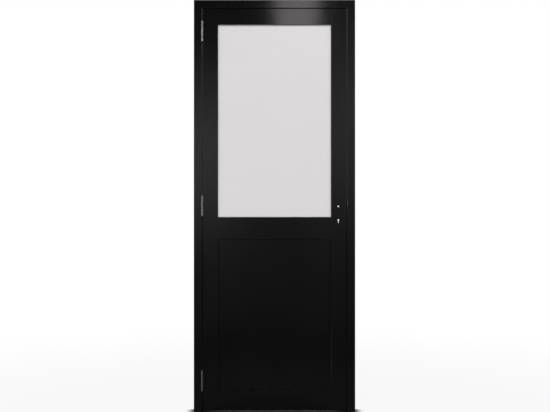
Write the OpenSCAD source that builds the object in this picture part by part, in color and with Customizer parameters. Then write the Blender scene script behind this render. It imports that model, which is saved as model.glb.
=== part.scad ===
// Half-glazed hinged door in its frame with planted stops, lift-off hinges and a mortise lock.
// Millimetres. X runs to the right, Y away from the viewer and Z up.
// The origin is on the floor, at the middle of the frame's width and depth.
// The leaf is shut, and the latch and the dead bolt are drawn back into the lock.

/* [Leaf] */
// Width of the leaf
leaf_w = 730; // [630:1:930]
// Height of the leaf
leaf_h = 2040; // [1990:1:2240]
// Thickness of the leaf
leaf_t = 40; // [38:0.5:44]
// Face width of both stiles
stile_w = 78; // [76:1:110]
// Face height of the top rail
top_rail_h = 82; // [70:1:130]
// Face height of the lock rail
lock_rail_h = 114; // [110:1:150]
// Face height of the bottom rail
bottom_rail_h = 106; // [80:1:180]
// Height of the pane that can be seen
glass_sight_h = 976; // [800:1:1040]
// Radius of the leaf's outer edges
leaf_arris_r = 1.5; // [0.8:0.1:3]
// Bevel on the edges round the pane and the panel
sight_bevel = 2; // [1:0.1:4]
// Length of the rail tenons
tenon_len = 35; // [20:1:36]
// Thickness of the rail tenons
tenon_t = 12; // [8:0.5:14]
// Wood left between a tenon and the rail's edges
tenon_margin = 14; // [13:0.5:18]
// Height of the lock rail's tenon, which stays below the lock
lock_tenon_h = 32; // [20:1:34]

/* [Pane and panel] */
// Thickness of the lip in front of the pane and on both sides of the panel
lip_t = 12; // [10:0.5:13]
// Depth of the seats that hold the pane and the panel
seat_d = 12; // [10:0.5:12]
// Thickness of the pane
glass_t = 6; // [4:0.5:8]
// Thickness of the glazing tape
tape_t = 1.5; // [1:0.1:2]
// Step of the tape back from the sight edge
tape_step = 1; // [0.5:0.1:3]
// Room round the edge of the pane
glass_play = 2; // [1.5:0.1:3]
// Room round the edge of the panel
panel_play = 1; // [0.5:0.1:2]
// Length of each block under the pane
block_len = 80; // [50:1:120]
// Bevel on the glazing beads
bead_bevel = 4; // [2:0.5:8]

/* [Frame] */
// Face width of the frame
frame_face_w = 42; // [42:1:70]
// Depth of the frame
frame_d = 90; // [86:1:160]
// Step of the stop that the leaf shuts against
stop_w = 15; // [13:0.5:25]
// Depth of the planted stop
stop_d = 38; // [28:0.5:40]
// Space between the shut leaf and the stop
stop_gap = 3; // [2.5:0.1:5]
// Space between the leaf and the frame
leaf_gap = 2.5; // [2.2:0.1:3.5]
// Space under the leaf
floor_gap = 8; // [4:0.5:15]
// Radius of the frame's edges
frame_arris_r = 2; // [1:0.1:4]
// Width of the kerf that holds the seal
kerf_w = 3; // [2:0.1:4]
// Depth of the kerf that holds the seal
kerf_d = 6; // [4:0.5:8]
// Width of the seal's bulb
seal_w = 10; // [7:0.5:10]
// Wall of the seal's bulb
seal_wall = 0.7; // [0.5:0.1:0.8]

/* [Wall fixings] */
// Diameter of the fixing holes in the jambs
fix_hole_d = 7; // [6:0.5:9]
// Diameter of their countersinks
fix_head_d = 14; // [12:0.5:18]
// Spacing of the outer pair of fixing holes
fix_outer_gap = 1400; // [1200:5:1500]
// Spacing of the inner pair of fixing holes
fix_inner_gap = 680; // [500:5:900]

/* [Hinges] */
// Height of a hinge
hinge_h = 105; // [90:1:120]
// Diameter of the knuckles
knuckle_d = 12; // [11:0.5:14]
// Bevel on the outer end of a knuckle
knuckle_bevel = 1; // [0.5:0.1:2]
// Diameter of the pin
hinge_pin_d = 7; // [5:0.5:7]
// Thickness of the hinge plates
plate_t = 2.5; // [2:0.1:2.8]
// Depth of the hinge plates in the wood's edge
plate_w = 26; // [24:1:30]
// Space between the knuckles and the face of the door
knuckle_stand = 1; // [0.6:0.1:3]
// Closed end of each knuckle
knuckle_cap = 4; // [2:0.5:8]
// Room between a plate and the other plate's knuckle
knuckle_room = 0.6; // [0.4:0.1:1]
// Thickness of the ring between the knuckles
ring_t = 2; // [1:0.1:4]
// Middle of the top hinge below the top of the leaf
top_hinge_drop = 116; // [90:1:250]
// Middle of the bottom hinge above the bottom of the leaf
bottom_hinge_rise = 153; // [90:1:300]

/* [Screws] */
// Diameter of the hardware screws
screw_d = 4; // [3:0.5:4.5]
// Diameter of their heads
screw_head_d = 8; // [7:0.5:8.5]
// Length of the hardware screws
screw_len = 30; // [20:1:32]
// Diameter of the frame's corner screws
corner_screw_d = 5; // [4:0.5:6]
// Diameter of the corner screws' heads
corner_head_d = 10; // [8:0.5:11]
// Length of the corner screws
corner_screw_len = 70; // [50:1:90]
// Depth of the corner screws' heads below the wood
corner_sink = 1; // [0.5:0.1:3]
// Diameter of the lock cover's screws
cover_screw_d = 2.5; // [2:0.1:3]
// Diameter of the lock cover's screw heads
cover_head_d = 4.6; // [4:0.1:5]
// Length of the lock cover's screws
cover_screw_len = 7; // [5:0.5:9]

/* [Lock] */
// Leaf's edge to the middle of the spindle
backset = 40; // [38:0.5:41]
// Spindle above the top of the lock rail
spindle_rise = 55; // [55:1:75]
// Keyhole below the spindle
key_drop = 70; // [68:0.5:72]
// Side of the square spindle hole
spindle_sq = 7; // [6:0.5:8]
// Hole in the wood round the spindle
spindle_hole_d = 19; // [18:0.5:24]
// Width of the lock's faceplate and its round ends
faceplate_w = 20; // [19:0.5:24]
// Height of the faceplate
faceplate_h = 200; // [196:1:220]
// Thickness of the faceplate
faceplate_t = 3; // [2.5:0.1:3]
// Middle of the faceplate below the spindle
faceplate_drop = 35; // [34:0.5:36]
// Screws of the faceplate, from its middle
faceplate_screw_z = 92; // [88:0.5:93]
// Thickness of the lock over its cover
case_t = 15; // [14.5:0.1:17]
// Lock's top edge above the spindle
case_up = 40; // [39:0.5:42]
// Lock's bottom edge below the spindle
case_down = 110; // [106:0.5:110]
// Wall of the lock
case_wall = 1.5; // [1:0.1:1.6]
// Diameter of the lock's screw posts
post_d = 6; // [5:0.5:7]
// Edges of the lock to the screw posts
post_in = 5; // [4.5:0.1:6]

/* [Follower and latch] */
// Diameter of the follower's bearings
journal_d = 17; // [15:0.5:18]
// Diameter of the follower's hub
hub_d = 22; // [20:0.5:23]
// Spindle to the nose of the follower's arm
arm_r = 24; // [23:0.5:25]
// Diameter of that nose
nose_d = 7; // [6:0.5:7]
// Thickness of the follower's arm
arm_t = 8; // [6:0.5:9]
// Middle of the latch above the spindle
latch_rise = 23; // [22:0.5:24]
// Height of the latch bolt
latch_h = 22; // [20:0.5:22]
// Thickness of the latch bolt
latch_t = 10; // [8:0.5:10.5]
// Length of the latch's head
latch_head_len = 24; // [20:0.5:25]
// How far the latch comes out
latch_throw = 12; // [10:0.5:12]
// Flat of the latch's nose
latch_flat = 2; // [1:0.1:3]
// Length of the latch's slope
latch_slope = 11; // [8:0.5:12]
// Diameter of the latch's rod
rod_d = 4.4; // [3.5:0.1:4.6]
// Rod above the middle of the latch
rod_rise = 8; // [8:0.1:8.4]
// Thickness of the hook that the follower draws
hook_t = 4; // [3:0.1:4]
// Width of that hook
hook_w = 8; // [6:0.5:9]
// Bottom of that hook above the spindle
hook_z = 14; // [12:0.5:16]
// Room between the nose and the hook
hook_room = 0.6; // [0.5:0.05:0.8]
// Wire of the latch spring
spring_wire_d = 0.8; // [0.6:0.05:0.9]
// Turns of the latch spring
spring_turns = 5; // [4:1:6]

/* [Dead bolt] */
// Middle of the dead bolt below the spindle
bolt_drop = 49; // [48:0.5:50]
// Height of the dead bolt
bolt_h = 24; // [20:0.5:24]
// Thickness of the dead bolt
bolt_t = 10; // [8:0.5:10.5]
// Length of the dead bolt's head
bolt_head_len = 26; // [22:0.5:28]
// How far the dead bolt comes out
bolt_throw = 14; // [10:0.5:15]
// Leaf's edge to the end of the dead bolt's tail
bolt_tail_end = 58; // [56:0.5:58.5]
// Thickness of the dead bolt's tail
bolt_tail_t = 5; // [4:0.5:5.5]
// Step from the dead bolt's head to its tail
bolt_step = 1; // [0.5:0.1:2]
// Diameter of the stud that guides the dead bolt
stud_d = 3.8; // [3:0.1:4.5]
// Leaf's edge to that stud
stud_in = 34; // [33:0.5:36]
// Width of the notch that the key moves
talon_w = 10; // [8:0.5:12]
// Depth of that notch
talon_d = 5; // [4:0.5:6]
// Thickness of the detent spring's strip
detent_t = 0.6; // [0.4:0.05:0.8]
// Width of the detent spring's strip
detent_w = 5; // [3:0.5:5]
// Height of the detent spring's nose
detent_rise = 3; // [2:0.1:4]
// Diameter of the keyhole
key_round_d = 8; // [7.5:0.1:9]
// Width of the keyhole's slot
key_slot_w = 3.4; // [3:0.1:4]
// Bottom of the slot below the keyhole's middle
key_slot_drop = 15; // [12:0.5:18]
// Wood cut away round the keyhole
key_margin = 1.2; // [1:0.1:2]

/* [Strike] */
// Thickness of the strike plate
strike_t = 2; // [1.5:0.1:2.5]
// Width of the strike plate
strike_w = 24; // [22:0.5:28]
// Height of the strike plate
strike_h = 146; // [144:1:160]
// Middle of the strike plate below the spindle
strike_drop = 10; // [9:0.5:11]
// Screws of the strike plate, from its middle
strike_screw_z = 64; // [64:0.5:66]
// Radius of the lip's curl
lip_curl_r = 5; // [4:0.5:7]
// Flat end of the lip on the face of the frame
lip_tail = 1; // [0.5:0.1:3]
// Height of the lip
lip_h = 35; // [30:0.5:38]
// Depth of the pockets behind the strike plate
pocket_d = 14; // [13:0.5:18]

/* [Fits] */
// Room round pieces let into the wood
wood_fit = 0.2; // [0.1:0.05:0.3]
// Room between a turning piece and its bearing, on the radius
run_fit = 0.05; // [0.03:0.01:0.08]
// Room round a piece that is pressed in, on the radius
press_fit = 0.02; // [0.01:0.01:0.03]
// Room between faces that turn or slide past each other
side_play = 0.3; // [0.2:0.05:0.4]
// Room round a bolt in its window
window_play = 0.6; // [0.5:0.1:1]
// Room round a bolt in the strike
strike_play = 1.5; // [1:0.1:2]
// Setback of a drawn bolt from the faceplate
bolt_setback = 0.2; // [0.1:0.05:0.4]

/* [Hidden] */
$fn = 64;

// Run of a cutter past the face that it cuts
overrun = 1;

// Places across the width: the leaf's edge, the jamb's inside and outside, the stop and the sight edge
leaf_x = leaf_w / 2;
rebate_x = leaf_x + leaf_gap;
outer_x = rebate_x + frame_face_w;
stop_x = rebate_x - stop_w;
sight_x = leaf_x - stile_w;
kerf_mid_x = stop_x + (stop_w - leaf_gap) / 2;

// Places through the depth
front_y = -frame_d / 2;
back_y = frame_d / 2;
leaf_mid_y = front_y + leaf_t / 2;
leaf_back_y = front_y + leaf_t;
stop_y = leaf_back_y + stop_gap;
pane_y = front_y + lip_t + tape_t;
bead_y = pane_y + glass_t + tape_t;

// Heights
leaf_z0 = floor_gap;
leaf_z1 = floor_gap + leaf_h;
frame_h = leaf_z1 + leaf_gap + frame_face_w;
stop_z = frame_h - frame_face_w - stop_w;
panel_z0 = leaf_z0 + bottom_rail_h;
glass_z1 = leaf_z1 - top_rail_h;
glass_z0 = glass_z1 - glass_sight_h;
panel_z1 = glass_z0 - lock_rail_h;
fix_z = frame_h / 2;

// Seal: height of its bulb, and the radius of a corner as a share of the height
bulb_h = stop_gap - side_play;
bulb_round_share = 0.42;

// Section of a bead: its distance out from the sight edge, and its place in the depth
bead_out = seat_d - wood_fit;
bead_section = [
    [0, bead_y], [bead_out, bead_y], [bead_out, leaf_back_y],
    [bead_bevel, leaf_back_y], [0, leaf_back_y - bead_bevel]
];

// Tenons of the rails, as bottom and top
top_tenon = [glass_z1 + tenon_margin, leaf_z1 - tenon_margin];
lock_tenon = [panel_z1 + tenon_margin, panel_z1 + tenon_margin + lock_tenon_h];
bottom_tenon = [leaf_z0 + tenon_margin, panel_z0 - tenon_margin];

// Hinges: the swing axis stands in front of the gap
axis_off = knuckle_d / 2 + knuckle_stand;
axis_x = -leaf_x - leaf_gap / 2;
axis_y = front_y - axis_off;
bottom_hinge_z = leaf_z0 + bottom_hinge_rise;
top_hinge_z = leaf_z1 - top_hinge_drop;
middle_hinge_z = (bottom_hinge_z + top_hinge_z) / 2;
hinge_zs = [bottom_hinge_z, middle_hinge_z, top_hinge_z];
// Places of a plate's screws as shares of its height and depth
plate_screw_share = [[-0.37, 0.38], [-0.13, 0.7], [0.13, 0.38], [0.37, 0.7]];
plate_screws = [for (s = plate_screw_share) [axis_off + plate_w * s.y, hinge_h * s.x]];

// Corner screws of the frame as shares of its depth and face width
corner_depth_share = 0.25;
corner_face_share = 0.4;
corner_spots = [
    for (side = [-1, 1], depth = [-1, 1])
        [side, frame_d * corner_depth_share * depth, frame_h - frame_face_w * corner_face_share]
];

// Setting blocks under the pane, as a share of its half width
block_share = 0.5;

// Screw drive: the cross as shares of the head
drive_len_share = 0.6;
drive_w_share = 0.14;
drive_d_share = 0.22;
tip_share = 0.3;

// Lock: U runs in from the leaf's edge, and heights are from the spindle
spindle_z = glass_z0 + spindle_rise;
inner_t = case_t - 2 * case_wall;
turn = asin(latch_throw / arm_r);
hook_u = backset + latch_throw + nose_d / 2 + hook_room;
case_end = hook_u + hook_t + side_play + case_wall;
rib_gap = nose_d / 4;
rib_u = backset - nose_d / 2 - rib_gap - case_wall;
rod_z = latch_rise + rod_rise;
rod_room = rod_d / 2 + side_play;
hook_top = rod_z + rod_d / 2;
post_far = case_end - post_in;
hub_gap = (hub_d + post_d) / 2 + post_in;
posts = [
    [faceplate_t + post_in, -post_in],
    [post_far, -hub_gap],
    [faceplate_t + post_in, post_in - case_down],
    [post_far, post_in - case_down]
];
bolt_top = bolt_h / 2 - bolt_drop;
bolt_bottom = -bolt_h / 2 - bolt_drop;
tail_top = bolt_top - bolt_step;
slot_r = stud_d / 2 + side_play;
// Bends of the detent spring as shares of its reach and of its nose's height
detent_share = [[0, 3], [0.55, 1.4], [0.75, 0.15], [0.95, 1.4], [1.2, 1.6]];
detent_reach = case_end - case_wall - stud_in;
faceplate_screws_z = [for (s = [-1, 1]) s * faceplate_screw_z - faceplate_drop];
strike_screws_z = [for (s = [-1, 1]) s * strike_screw_z - strike_drop];

// Facets of the latch spring
spring_steps = 16;
spring_sides = 6;
spring_r = rod_room + spring_wire_d / 2;

wood_black = "#1c1d20";
steel_grey = "#8c8f94";
zinc_grey = "#a3a6aa";
brass_gold = "#b59a4c";
rubber_black = "#101012";
glass_tint = "#d9d8d9";

// A box from its two opposite corners
module span(a, b) translate(a) cube(b - a);

// Draws an outline in X and Y and runs it up
module along_z(z0, z1) translate([0, 0, z0]) linear_extrude(z1 - z0) children();

// Draws an outline in X and Z and runs it through the depth
module along_y(y0, y1) translate([0, y1, 0]) rotate([90, 0, 0]) linear_extrude(y1 - y0) children();

// Draws an outline in Y and Z and runs it across the width
module along_x(x0, x1) translate([x0, 0, 0]) rotate([90, 0, 90]) linear_extrude(x1 - x0) children();

// Rectangle with round corners, from its two opposite corners
module rounded(a, b, r) {
    translate([a.x + r, a.y]) square([b.x - a.x - 2 * r, b.y - a.y]);
    translate([a.x, a.y + r]) square([b.x - a.x, b.y - a.y - 2 * r]);
    for (x = [a.x + r, b.x - r], y = [a.y + r, b.y - r]) translate([x, y]) circle(r);
}

// Upright slot with round ends
module stadium(r, z0, z1) {
    translate([-r, z0 + r]) square([2 * r, z1 - z0 - 2 * r]);
    for (z = [z0 + r, z1 - r]) translate([0, z]) circle(r);
}

// Round bar along the depth
module cross_bar(r, y0, y1) translate([0, y1, 0]) rotate([90, 0, 0]) cylinder(r = r, h = y1 - y0);

// Countersunk screw with its head's top at the origin, pointing up
module screw(d, head_d, len) {
    head_h = (head_d - d) / 2;
    tip_h = d / 2;
    difference() {
        union() {
            cylinder(d1 = head_d, d2 = d, h = head_h);
            cylinder(d = d, h = len - tip_h);
            translate([0, 0, len - tip_h]) cylinder(d1 = d, d2 = d * tip_share, h = tip_h);
        }
        for (a = [0, 90]) rotate(a) span(
            [-head_d * drive_len_share / 2, -head_d * drive_w_share / 2, -overrun],
            [head_d * drive_len_share / 2, head_d * drive_w_share / 2, head_d * drive_d_share]
        );
    }
}

// Hole for that screw, with room all round, open above its head
module screw_hole(d, head_d, len, room) {
    head_h = (head_d - d) / 2;
    translate([0, 0, -overrun]) cylinder(d = head_d + 2 * room, h = overrun);
    cylinder(d1 = head_d + 2 * room, d2 = d + 2 * room, h = head_h);
    cylinder(d = d + 2 * room, h = len + room);
}

// Turns a thing that points up to point along X, to the right or to the left
module point_right() rotate([0, 90, 0]) children();
module point_left() rotate([0, -90, 0]) children();

// Frame: outline of the jamb on the lock side
module jamb_outline() rounded([rebate_x, front_y], [outer_x, back_y], frame_arris_r);

// Outline of the stop planted on that jamb, with the seal's kerf
module stop_outline() difference() {
    union() {
        rounded([stop_x, stop_y], [rebate_x, stop_y + stop_d], frame_arris_r);
        translate([kerf_mid_x, stop_y]) square([rebate_x - kerf_mid_x, stop_d]);
    }
    translate([kerf_mid_x - kerf_w / 2, stop_y - overrun]) square([kerf_w, kerf_d + overrun]);
}

// Outline of the seal on the lock side: a stem in the kerf and a hollow bulb
module seal_outline() {
    stem_w = kerf_w - 2 * wood_fit;
    near = [kerf_mid_x - seal_w / 2, stop_y - bulb_h];
    far = [kerf_mid_x + seal_w / 2, stop_y];
    wall = [seal_wall, seal_wall];
    translate([kerf_mid_x - stem_w / 2, stop_y - seal_wall]) square([stem_w, kerf_d]);
    difference() {
        rounded(near, far, bulb_h * bulb_round_share);
        rounded(near + wall, far - wall, (bulb_h - 2 * seal_wall) * bulb_round_share);
    }
}

// Region of the lock-side jamb, under the mitre
module jamb_region() along_y(front_y - overrun, back_y + overrun) polygon([
    [stop_x, 0], [outer_x, 0], [outer_x, frame_h], [stop_x, stop_z]
]);

// Region of the head, above both mitres
module head_region() along_y(front_y - overrun, back_y + overrun) polygon([
    [-stop_x, stop_z], [stop_x, stop_z], [outer_x, frame_h], [-outer_x, frame_h]
]);

// Lays the outline of an upright along the head
module head_turn() along_x(-outer_x, outer_x) translate([0, frame_h - outer_x]) mirror([1, -1]) children();

// Fixing holes of the lock-side jamb
module wall_holes() for (gap = [fix_outer_gap, fix_inner_gap], s = [-1, 1])
    translate([rebate_x, leaf_mid_y, fix_z + s * gap / 2]) point_right()
        screw_hole(fix_hole_d, fix_head_d, frame_face_w + overrun, 0);

module corner_holes() for (c = corner_spots)
    translate([c.x * (outer_x - corner_sink), c.y, c.z]) rotate([0, -90 * c.x, 0])
        screw_hole(corner_screw_d, corner_head_d, corner_screw_len, press_fit);

module corner_screws() color(zinc_grey) for (c = corner_spots)
    translate([c.x * (outer_x - corner_sink), c.y, c.z]) rotate([0, -90 * c.x, 0])
        screw(corner_screw_d, corner_head_d, corner_screw_len);

module hinge_jamb() color(wood_black) difference() {
    mirror([1, 0, 0]) difference() {
        intersection() {
            linear_extrude(frame_h) jamb_outline();
            jamb_region();
        }
        wall_holes();
    }
    corner_holes();
    for (z = hinge_zs) {
        span(
            [-rebate_x - plate_t, front_y - overrun, z - hinge_h / 2 - wood_fit],
            [-rebate_x + overrun, front_y + plate_w + wood_fit, z + hinge_h / 2 + wood_fit]
        );
        for (s = plate_screws) translate([-rebate_x, axis_y + s.x, z - s.y]) point_left()
            screw_hole(screw_d, screw_head_d, screw_len, press_fit);
    }
}

module lock_jamb() color(wood_black) difference() {
    intersection() {
        linear_extrude(frame_h) jamb_outline();
        jamb_region();
    }
    wall_holes();
    corner_holes();
    strike_cuts();
}

module frame_head() color(wood_black) difference() {
    intersection() {
        head_turn() jamb_outline();
        head_region();
    }
    corner_holes();
}

module lock_stop() color(wood_black) intersection() {
    linear_extrude(frame_h) stop_outline();
    jamb_region();
}

module hinge_stop() color(wood_black) mirror([1, 0, 0]) intersection() {
    linear_extrude(frame_h) stop_outline();
    jamb_region();
}

module head_stop() color(wood_black) intersection() {
    head_turn() stop_outline();
    head_region();
}

module lock_side_seal() color(rubber_black) intersection() {
    linear_extrude(frame_h) seal_outline();
    jamb_region();
}

module hinge_side_seal() color(rubber_black) mirror([1, 0, 0]) intersection() {
    linear_extrude(frame_h) seal_outline();
    jamb_region();
}

module head_seal() color(rubber_black) intersection() {
    head_turn() seal_outline();
    head_region();
}

// Strike: everything is set out from the spindle's height
module at_strike() translate([rebate_x, leaf_mid_y, spindle_z]) children();

module strike_window(rise, high, thick, depth) span(
    [-overrun, -thick / 2 - strike_play, rise - high / 2 - strike_play],
    [depth, thick / 2 + strike_play, rise + high / 2 + strike_play]
);

// Room in the lock jamb for the plate, its lip, its screws and both bolts
module strike_cuts() at_strike() {
    span(
        [-overrun, -strike_w / 2 - wood_fit, -strike_drop - strike_h / 2 - wood_fit],
        [strike_t, strike_w / 2 + wood_fit, -strike_drop + strike_h / 2 + wood_fit]
    );
    span(
        [-overrun, -leaf_t / 2 - overrun, latch_rise - lip_h / 2 - wood_fit],
        [lip_curl_r + lip_tail + wood_fit, -strike_w / 2, latch_rise + lip_h / 2 + wood_fit]
    );
    strike_window(latch_rise, latch_h, latch_t, strike_t + pocket_d);
    strike_window(-bolt_drop, bolt_h, bolt_t, strike_t + pocket_d);
    for (z = strike_screws_z) translate([0, 0, z]) point_right()
        screw_hole(screw_d, screw_head_d, screw_len, press_fit);
}

module strike_plate() color(steel_grey) at_strike() difference() {
    union() {
        span(
            [0, -strike_w / 2, -strike_drop - strike_h / 2],
            [strike_t, strike_w / 2, -strike_drop + strike_h / 2]
        );
        along_z(latch_rise - lip_h / 2, latch_rise + lip_h / 2) strike_lip_outline();
    }
    strike_window(latch_rise, latch_h, latch_t, strike_t + overrun);
    strike_window(-bolt_drop, bolt_h, bolt_t, strike_t + overrun);
    for (z = strike_screws_z) translate([0, 0, z]) point_right()
        screw_hole(screw_d, screw_head_d, screw_len, press_fit);
}

// Lip in plan: flat along the rebate, then curled round the jamb's front edge
module strike_lip_outline() {
    curl_y = lip_curl_r - leaf_t / 2;
    translate([0, curl_y]) square([strike_t, -strike_w / 2 - curl_y]);
    translate([lip_curl_r, -leaf_t / 2]) square([lip_tail, strike_t]);
    intersection() {
        translate([0, -leaf_t / 2]) square(lip_curl_r);
        translate([lip_curl_r, curl_y]) difference() {
            circle(lip_curl_r);
            circle(lip_curl_r - strike_t);
        }
    }
}

module strike_screws() color(zinc_grey) at_strike() for (z = strike_screws_z)
    translate([0, 0, z]) point_right() screw(screw_d, screw_head_d, screw_len);

// Hinges: drawn at the swing axis, at the middle of the hinge's height
module at_hinge(z) translate([axis_x, axis_y, z]) children();

// Upper knuckle, standing on the ring
module knuckle() {
    straight_h = (hinge_h - ring_t) / 2 - knuckle_bevel;
    cylinder(d = knuckle_d, h = straight_h);
    translate([0, 0, straight_h])
        cylinder(d1 = knuckle_d, d2 = knuckle_d - 2 * knuckle_bevel, h = knuckle_bevel);
}

// The leaf's half, with the upper knuckle; turned over it is the frame's half
module hinge_half(bore_room) difference() {
    union() {
        span(
            [leaf_gap / 2, 0, -hinge_h / 2],
            [leaf_gap / 2 + plate_t, axis_off + plate_w, hinge_h / 2]
        );
        translate([0, 0, ring_t / 2]) knuckle();
    }
    cylinder(d = hinge_pin_d + 2 * bore_room, h = hinge_h / 2 - knuckle_cap);
    translate([0, 0, -hinge_h / 2 - overrun])
        cylinder(d = knuckle_d + 2 * knuckle_room, h = (hinge_h + ring_t) / 2 + overrun + side_play);
    for (s = plate_screws) translate([leaf_gap / 2, s.x, s.y]) point_right()
        screw_hole(screw_d, screw_head_d, screw_len, press_fit);
}

module hinge_door_leaf(z) color(steel_grey) at_hinge(z) hinge_half(run_fit);

module hinge_frame_leaf(z) color(steel_grey) at_hinge(z) rotate([0, 180, 0]) hinge_half(press_fit);

module hinge_pin(z) color(zinc_grey) at_hinge(z) {
    reach = hinge_h / 2 - knuckle_cap;
    translate([0, 0, -reach]) cylinder(d = hinge_pin_d, h = 2 * reach - side_play);
}

module hinge_ring(z) color(brass_gold) at_hinge(z) translate([0, 0, -ring_t / 2 - side_play]) difference() {
    cylinder(d = knuckle_d, h = ring_t + side_play);
    translate([0, 0, -overrun])
        cylinder(d = hinge_pin_d + 2 * press_fit, h = ring_t + side_play + 2 * overrun);
}

module bottom_hinge_frame_leaf() hinge_frame_leaf(bottom_hinge_z);
module middle_hinge_frame_leaf() hinge_frame_leaf(middle_hinge_z);
module top_hinge_frame_leaf() hinge_frame_leaf(top_hinge_z);
module bottom_hinge_pin() hinge_pin(bottom_hinge_z);
module middle_hinge_pin() hinge_pin(middle_hinge_z);
module top_hinge_pin() hinge_pin(top_hinge_z);
module bottom_hinge_ring() hinge_ring(bottom_hinge_z);
module middle_hinge_ring() hinge_ring(middle_hinge_z);
module top_hinge_ring() hinge_ring(top_hinge_z);
module bottom_hinge_door_leaf() hinge_door_leaf(bottom_hinge_z);
module middle_hinge_door_leaf() hinge_door_leaf(middle_hinge_z);
module top_hinge_door_leaf() hinge_door_leaf(top_hinge_z);

module hinge_frame_screws() color(zinc_grey) for (z = hinge_zs, s = plate_screws)
    translate([-rebate_x, axis_y + s.x, z - s.y]) point_left() screw(screw_d, screw_head_d, screw_len);

module hinge_door_screws() color(zinc_grey) for (z = hinge_zs, s = plate_screws)
    translate([-leaf_x, axis_y + s.x, z + s.y]) point_right() screw(screw_d, screw_head_d, screw_len);

// Leaf: the whole slab with its rounded outer edges
module leaf_blank() intersection() {
    along_z(leaf_z0, leaf_z1) rounded([-leaf_x, front_y], [leaf_x, leaf_back_y], leaf_arris_r);
    along_x(-leaf_x, leaf_x) rounded([front_y, leaf_z0], [leaf_back_y, leaf_z1], leaf_arris_r);
}

// Bevel round an opening, cut in from one face: inward is 1 from the front and -1 from the back
module bevel_cut(z0, z1, face_y, inward) {
    wide = sight_bevel + overrun;
    y0 = face_y - inward * overrun;
    y1 = face_y + inward * sight_bevel;
    intersection() {
        along_z(z0 - wide, z1 + wide) polygon([
            [-sight_x - wide, y0], [sight_x + wide, y0], [sight_x, y1], [-sight_x, y1]
        ]);
        along_x(-sight_x - wide, sight_x + wide) polygon([
            [y0, z0 - wide], [y0, z1 + wide], [y1, z1], [y1, z0]
        ]);
    }
}

// Seats of the pane, open to the back for the beads, and of the panel
module seats() {
    span(
        [-sight_x - seat_d, front_y + lip_t, glass_z0 - seat_d],
        [sight_x + seat_d, leaf_back_y + overrun, glass_z1 + seat_d]
    );
    span(
        [-sight_x - seat_d, front_y + lip_t, panel_z0 - seat_d],
        [sight_x + seat_d, leaf_back_y - lip_t, panel_z1 + seat_d]
    );
}

// One member of the leaf between two corners in X and Z
module member(a, b) difference() {
    intersection() {
        leaf_blank();
        span([a.x, front_y - overrun, a.y], [b.x, leaf_back_y + overrun, b.y]);
    }
    seats();
    bevel_cut(glass_z0, glass_z1, front_y, 1);
    bevel_cut(panel_z0, panel_z1, front_y, 1);
    bevel_cut(panel_z0, panel_z1, leaf_back_y, -1);
}

// Tenon bar through a rail, or its mortises when it has room
module tenon(zs, room) span(
    [-sight_x - tenon_len - room, leaf_mid_y - tenon_t / 2 - room, zs[0] - room],
    [sight_x + tenon_len + room, leaf_mid_y + tenon_t / 2 + room, zs[1] + room]
);

module mortises() for (zs = [top_tenon, lock_tenon, bottom_tenon]) tenon(zs, wood_fit);

module rail(z0, z1, zs) color(wood_black) {
    member([-sight_x, z0], [sight_x, z1]);
    tenon(zs, 0);
}

module top_rail() rail(glass_z1, leaf_z1, top_tenon);
module lock_rail() rail(panel_z1, glass_z0, lock_tenon);
module bottom_rail() rail(leaf_z0, panel_z0, bottom_tenon);

module hinge_stile() color(wood_black) difference() {
    member([-leaf_x, leaf_z0], [-sight_x, leaf_z1]);
    mortises();
    for (z = hinge_zs) {
        span(
            [-leaf_x - overrun, front_y - overrun, z - hinge_h / 2 - wood_fit],
            [-leaf_x + plate_t, front_y + plate_w + wood_fit, z + hinge_h / 2 + wood_fit]
        );
        for (s = plate_screws) translate([-leaf_x, axis_y + s.x, z + s.y]) point_right()
            screw_hole(screw_d, screw_head_d, screw_len, press_fit);
    }
}

module lock_stile() color(wood_black) difference() {
    member([sight_x, leaf_z0], [leaf_x, leaf_z1]);
    mortises();
    lock_cuts();
}

module lower_panel() color(wood_black) {
    side = sight_x + seat_d - panel_play;
    over = seat_d - panel_play;
    span(
        [-side, front_y + lip_t + wood_fit, panel_z0 - over],
        [side, leaf_back_y - lip_t - wood_fit, panel_z1 + over]
    );
}

// Pane: its edges stand clear of the seat, on two blocks
module pane_ring(y0, y1, step) difference() {
    side = sight_x + seat_d - glass_play;
    over = seat_d - glass_play;
    span([-side, y0, glass_z0 - over], [side, y1, glass_z1 + over]);
    span(
        [-sight_x - step, y0 - overrun, glass_z0 - step],
        [sight_x + step, y1 + overrun, glass_z1 + step]
    );
}

module glass_pane() color(glass_tint) {
    side = sight_x + seat_d - glass_play;
    over = seat_d - glass_play;
    span([-side, pane_y, glass_z0 - over], [side, pane_y + glass_t, glass_z1 + over]);
}

module front_glazing_tape() color(rubber_black) pane_ring(pane_y - tape_t, pane_y, tape_step);
module back_glazing_tape() color(rubber_black) pane_ring(bead_y - tape_t, bead_y, tape_step);

module setting_blocks() color(rubber_black) for (side = [-1, 1]) {
    mid = side * sight_x * block_share;
    span(
        [mid - block_len / 2, pane_y, glass_z0 - seat_d],
        [mid + block_len / 2, pane_y + glass_t, glass_z0 - seat_d + glass_play]
    );
}

// Beads: the upright one is drawn on the lock side, mitred at both ends
module upright_bead() intersection() {
    along_z(glass_z0 - seat_d, glass_z1 + seat_d) polygon([for (p = bead_section) [sight_x + p.x, p.y]]);
    along_y(bead_y - overrun, leaf_back_y + overrun) polygon([
        [sight_x, glass_z0], [sight_x + bead_out, glass_z0 - bead_out],
        [sight_x + bead_out, glass_z1 + bead_out], [sight_x, glass_z1]
    ]);
}

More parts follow.
